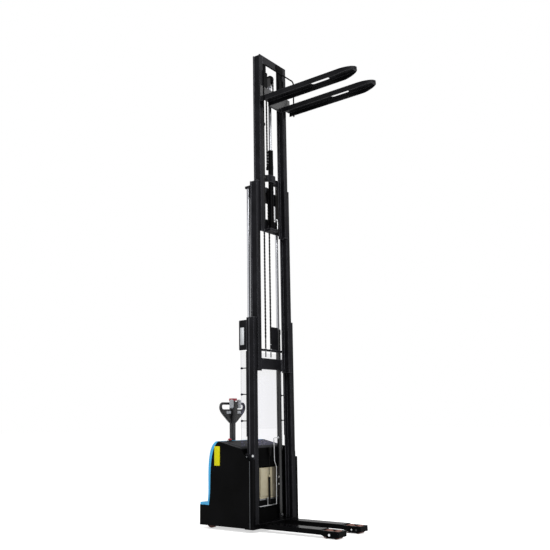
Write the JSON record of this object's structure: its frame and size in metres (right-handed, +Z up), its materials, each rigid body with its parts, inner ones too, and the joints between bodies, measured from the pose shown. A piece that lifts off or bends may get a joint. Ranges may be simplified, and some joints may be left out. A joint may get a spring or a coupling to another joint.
{
  "type": "electric stacker",
  "caption": "Walk-behind electric stacker with a raised triplex mast, straddle legs, channel forks, tiller and blue rear cover.",
  "frame": {"origin": "on the floor, at the middle of the machine's width and length", "axes": "+Z up, forks towards -Y, operator on the +Y side"},
  "size_m": [0.79, 2.012, 5.275],
  "materials": {
    "black_powder_coat": "satin black powder coat",
    "panel_black": "satin black sheet panel",
    "blue_cover": "light blue moulded cover",
    "dark_plastic": "dark grey moulded plastic",
    "tiller_paint": "black painted tube",
    "red_plastic": "red moulded plastic",
    "grey_plastic": "pale grey moulded plastic",
    "clear_sheet": "clear polycarbonate sheet",
    "cream_tank": "cream blow-moulded tank",
    "chrome_rod": "hard chrome",
    "zinc_steel": "zinc plated steel",
    "roller_steel": "ground steel",
    "chain_steel": "oiled leaf chain",
    "polyurethane": "red-brown polyurethane",
    "battery_case": "battery case",
    "motor_casting": "cast housing"
  },
  "bodies": {
    "chassis": {"base_frame": "black_powder_coat", "leg_left": "black_powder_coat", "leg_right": "black_powder_coat", "load_axles": "zinc_steel", "side_panel_left": "panel_black", "side_panel_right": "panel_black", "rear_cover": "blue_cover", "top_cover": "dark_plastic", "bulkhead": "black_powder_coat", "oil_tank": "cream_tank", "pump_unit": "motor_casting", "battery_pack": "battery_case", "controller": "motor_casting", "outer_rails": "black_powder_coat", "outer_cross_bar": "black_powder_coat", "lift_cylinders": "black_powder_coat", "mast_guard": "clear_sheet", "guard_standoffs": "dark_plastic", "mast_side_plate": "black_powder_coat", "hydraulic_pipe": "zinc_steel"},
    "steering": {"drive_yoke": "black_powder_coat", "hub_motor": "motor_casting"},
    "drive_wheel": {"drive_wheel": "polyurethane"},
    "tiller": {"tiller_arm": "tiller_paint", "tiller_head": "dark_plastic"},
    "belly_button": {"belly_button": "red_plastic"},
    "thumb_paddles": {"thumb_paddles": "grey_plastic"},
    "lift_rocker_left": {"lift_rocker_left": "grey_plastic"},
    "lift_rocker_right": {"lift_rocker_right": "grey_plastic"},
    "stop_button": {"stop_button": "red_plastic"},
    "key_switch": {"key_switch": "dark_plastic"},
    "middle_mast": {"middle_rails": "black_powder_coat", "middle_top_beam": "black_powder_coat", "middle_lower_beam": "black_powder_coat", "lift_rods": "chrome_rod", "lift_chains": "chain_steel"},
    "middle_rollers": {"middle_rollers": "roller_steel"},
    "main_sheaves": {"main_sheaves": "roller_steel"},
    "inner_mast": {"inner_rails": "black_powder_coat", "inner_top_beam": "black_powder_coat", "inner_lower_beam": "black_powder_coat", "cylinder_stay": "black_powder_coat", "free_lift_cylinder": "black_powder_coat"},
    "inner_rollers": {"inner_rollers": "roller_steel"},
    "lift_head": {"free_lift_rod": "chrome_rod", "free_lift_chain": "chain_steel"},
    "free_sheave": {"free_sheave": "roller_steel"},
    "carriage": {"carriage": "black_powder_coat", "fork_left": "black_powder_coat", "fork_right": "black_powder_coat", "load_backrest": "black_powder_coat"},
    "carriage_rollers": {"carriage_rollers": "roller_steel"},
    "castor_fork_left": {"castor_fork_left": "black_powder_coat"},
    "castor_wheel_left": {"castor_wheel_left": "polyurethane"},
    "load_wheel_left_rear": {"load_wheel_left_rear": "polyurethane"},
    "load_wheel_left_front": {"load_wheel_left_front": "polyurethane"},
    "castor_fork_right": {"castor_fork_right": "black_powder_coat"},
    "castor_wheel_right": {"castor_wheel_right": "polyurethane"},
    "load_wheel_right_rear": {"load_wheel_right_rear": "polyurethane"},
    "load_wheel_right_front": {"load_wheel_right_front": "polyurethane"}
  },
  "joints": [
    {"name": "mast_middle", "type": "slide", "parent": "chassis", "child": "middle_mast", "axis": [0, 0, 1], "range_m": [-1.535, 0], "deforming": ["lift_chains"]},
    {"name": "mast_inner", "type": "slide", "parent": "middle_mast", "child": "inner_mast", "axis": [0, 0, 1], "range_m": [-1.535, 0]},
    {"name": "free_lift", "type": "slide", "parent": "inner_mast", "child": "lift_head", "axis": [0, 0, 1], "range_m": [-0.7815, 0], "deforming": ["free_lift_chain"]},
    {"name": "carriage_lift", "type": "slide", "parent": "lift_head", "child": "carriage", "axis": [0, 0, 1], "range_m": [-0.7815, 0]},
    {"name": "main_sheaves_turn", "type": "hinge", "parent": "middle_mast", "child": "main_sheaves", "pos_m": [0, 0.332, 3.69], "axis": [1, 0, 0], "continuous": true},
    {"name": "free_sheave_turn", "type": "hinge", "parent": "lift_head", "child": "free_sheave", "pos_m": [0, 0.294, 5.0545], "axis": [1, 0, 0], "continuous": true},
    {"name": "middle_rollers_turn", "type": "hinge", "parent": "middle_mast", "child": "middle_rollers", "pos_m": [0, 0.331, 1.69], "axis": [1, 0, 0], "continuous": true},
    {"name": "inner_rollers_turn", "type": "hinge", "parent": "inner_mast", "child": "inner_rollers", "pos_m": [0, 0.312, 3.225], "axis": [1, 0, 0], "continuous": true},
    {"name": "carriage_rollers_turn", "type": "hinge", "parent": "carriage", "child": "carriage_rollers", "pos_m": [0, 0.293, 4.785], "axis": [1, 0, 0], "continuous": true},
    {"name": "steer", "type": "hinge", "parent": "chassis", "child": "steering", "pos_m": [0, 0.884, 0], "axis": [0, 0, 1], "range_deg": [-70, 70]},
    {"name": "drive_roll", "type": "hinge", "parent": "steering", "child": "drive_wheel", "pos_m": [0, 0.884, 0.105], "axis": [1, 0, 0], "continuous": true},
    {"name": "tiller_fold", "type": "hinge", "parent": "steering", "child": "tiller", "pos_m": [0, 0.884, 0.33], "axis": [-1, 0, 0], "range_deg": [0, 80], "stiffness_Nm_per_rad": 40, "springref_deg": -57.3},
    {"name": "belly_press", "type": "slide", "parent": "tiller", "child": "belly_button", "axis": [0, 0, -1], "range_m": [0, 0.008], "stiffness_N_per_m": 800, "springref_m": -0.004},
    {"name": "paddles_turn", "type": "hinge", "parent": "tiller", "child": "thumb_paddles", "pos_m": [0, 0.843, 1.297], "axis": [1, 0, 0], "range_deg": [-15, 15], "stiffness_Nm_per_rad": 0.4},
    {"name": "lift_rock_left", "type": "hinge", "parent": "tiller", "child": "lift_rocker_left", "pos_m": [0.084, 0.875, 1.206], "axis": [0, 0, 1], "range_deg": [-6, 6], "stiffness_Nm_per_rad": 0.5},
    {"name": "lift_rock_right", "type": "hinge", "parent": "tiller", "child": "lift_rocker_right", "pos_m": [-0.084, 0.875, 1.206], "axis": [0, 0, 1], "range_deg": [-6, 6], "stiffness_Nm_per_rad": 0.5},
    {"name": "stop_press", "type": "slide", "parent": "chassis", "child": "stop_button", "axis": [0, 0, -1], "range_m": [0, 0.006]},
    {"name": "key_turn", "type": "hinge", "parent": "chassis", "child": "key_switch", "pos_m": [0.15, 0.712, 0.9], "axis": [0, 0, 1], "range_deg": [0, 90]},
    {"name": "castor_swivel_left", "type": "hinge", "parent": "chassis", "child": "castor_fork_left", "pos_m": [0.28, 0.895, 0.16], "axis": [0, 0, 1], "continuous": true},
    {"name": "castor_roll_left", "type": "hinge", "parent": "castor_fork_left", "child": "castor_wheel_left", "pos_m": [0.28, 0.93, 0.062], "axis": [1, 0, 0], "continuous": true},
    {"name": "load_roll_left_rear", "type": "hinge", "parent": "chassis", "child": "load_wheel_left_rear", "pos_m": [0.2, -0.496, 0.04], "axis": [1, 0, 0], "continuous": true},
    {"name": "load_roll_left_front", "type": "hinge", "parent": "chassis", "child": "load_wheel_left_front", "pos_m": [0.2, -0.602, 0.04], "axis": [1, 0, 0], "continuous": true},
    {"name": "castor_swivel_right", "type": "hinge", "parent": "chassis", "child": "castor_fork_right", "pos_m": [-0.28, 0.895, 0.16], "axis": [0, 0, 1], "continuous": true},
    {"name": "castor_roll_right", "type": "hinge", "parent": "castor_fork_right", "child": "castor_wheel_right", "pos_m": [-0.28, 0.93, 0.062], "axis": [1, 0, 0], "continuous": true},
    {"name": "load_roll_right_rear", "type": "hinge", "parent": "chassis", "child": "load_wheel_right_rear", "pos_m": [-0.2, -0.496, 0.04], "axis": [1, 0, 0], "continuous": true},
    {"name": "load_roll_right_front", "type": "hinge", "parent": "chassis", "child": "load_wheel_right_front", "pos_m": [-0.2, -0.602, 0.04], "axis": [1, 0, 0], "continuous": true}
  ],
  "couplings": [
    {"joint": "mast_inner", "follows": "mast_middle", "ratio": 1},
    {"joint": "carriage_lift", "follows": "free_lift", "ratio": 1},
    {"joint": "main_sheaves_turn", "follows": "mast_middle", "rad_per_m": -33.333},
    {"joint": "free_sheave_turn", "follows": "free_lift", "rad_per_m": -20},
    {"joint": "middle_rollers_turn", "follows": "mast_middle", "rad_per_m": -27.285},
    {"joint": "inner_rollers_turn", "follows": "mast_middle", "rad_per_m": -27.285},
    {"joint": "carriage_rollers_turn", "follows": "free_lift", "rad_per_m": -54.57}
  ]
}
